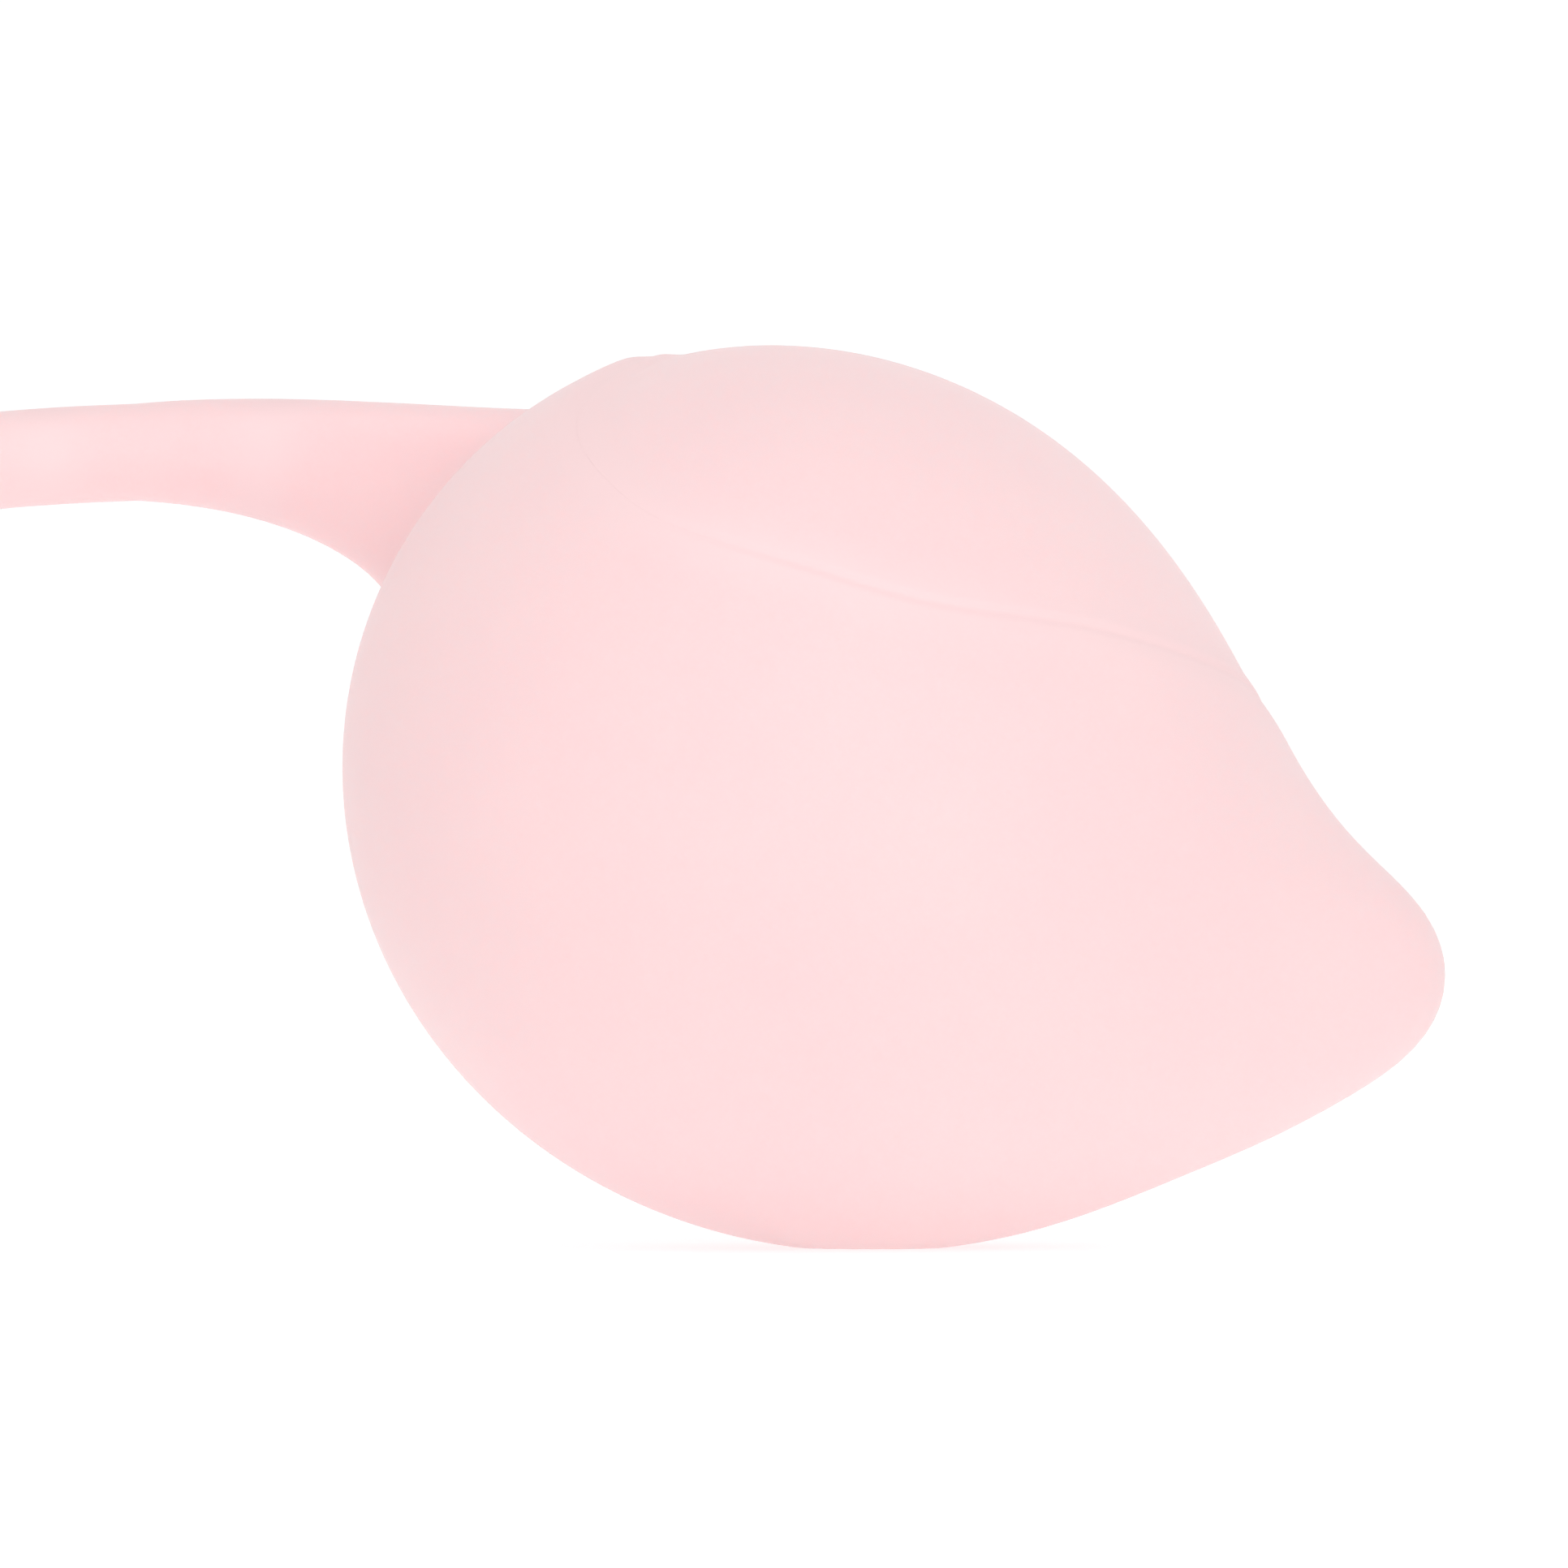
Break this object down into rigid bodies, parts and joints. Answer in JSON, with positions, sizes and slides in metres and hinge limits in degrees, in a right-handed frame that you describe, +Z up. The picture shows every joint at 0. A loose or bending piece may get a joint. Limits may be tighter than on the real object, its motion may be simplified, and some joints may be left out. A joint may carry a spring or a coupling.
{
  "type": "weighted silicone training ball",
  "caption": "Round silicone-skinned ball with a soft nose, a swirl crease, a rolling steel weight inside and a flexible retrieval tail.",
  "frame": {"origin": "centre of the small flat that the ball rests on, under its lowest point", "axes": "+Z up, +X towards the nose, -Y to the front, where the long swirl crease shows; the tail leaves towards -X"},
  "size_m": [0.1267, 0.038, 0.0378],
  "materials": {
    "silicone": "soft matte silicone",
    "shell_plastic": "moulded satin",
    "steel": "ground ball",
    "soft_jacket": "matte"
  },
  "bodies": {
    "ball": {"front_skin_lobe": "silicone", "back_skin_lobe": "silicone", "capsule_lower": "shell_plastic", "capsule_upper": "shell_plastic"},
    "weight": {"weight_core": "steel", "weight_jacket_upper": "soft_jacket", "weight_jacket_lower": "soft_jacket"},
    "tail_root": {"tail_neck": "silicone"},
    "tail": {"tail_stem": "silicone", "tail_tip": "silicone"}
  },
  "joints": [
    {"name": "weight_roll", "type": "hinge", "parent": "ball", "child": "weight", "pos_m": [0, 0, 0.0173], "axis": [0, 1, 0], "continuous": true},
    {"name": "tail_lift", "type": "hinge", "parent": "ball", "child": "tail_root", "pos_m": [-0.019, 0.007, 0.0322], "axis": [0, 1, 0], "range_deg": [0, 50], "stiffness_Nm_per_rad": 0.006, "deforming": ["tail_neck"]},
    {"name": "tail_swing", "type": "hinge", "parent": "tail_root", "child": "tail", "pos_m": [-0.0301, 0.007, 0.0335], "axis": [0, 0, 1], "range_deg": [-60, 60], "stiffness_Nm_per_rad": 0.003, "deforming": ["tail_neck"]}
  ]
}
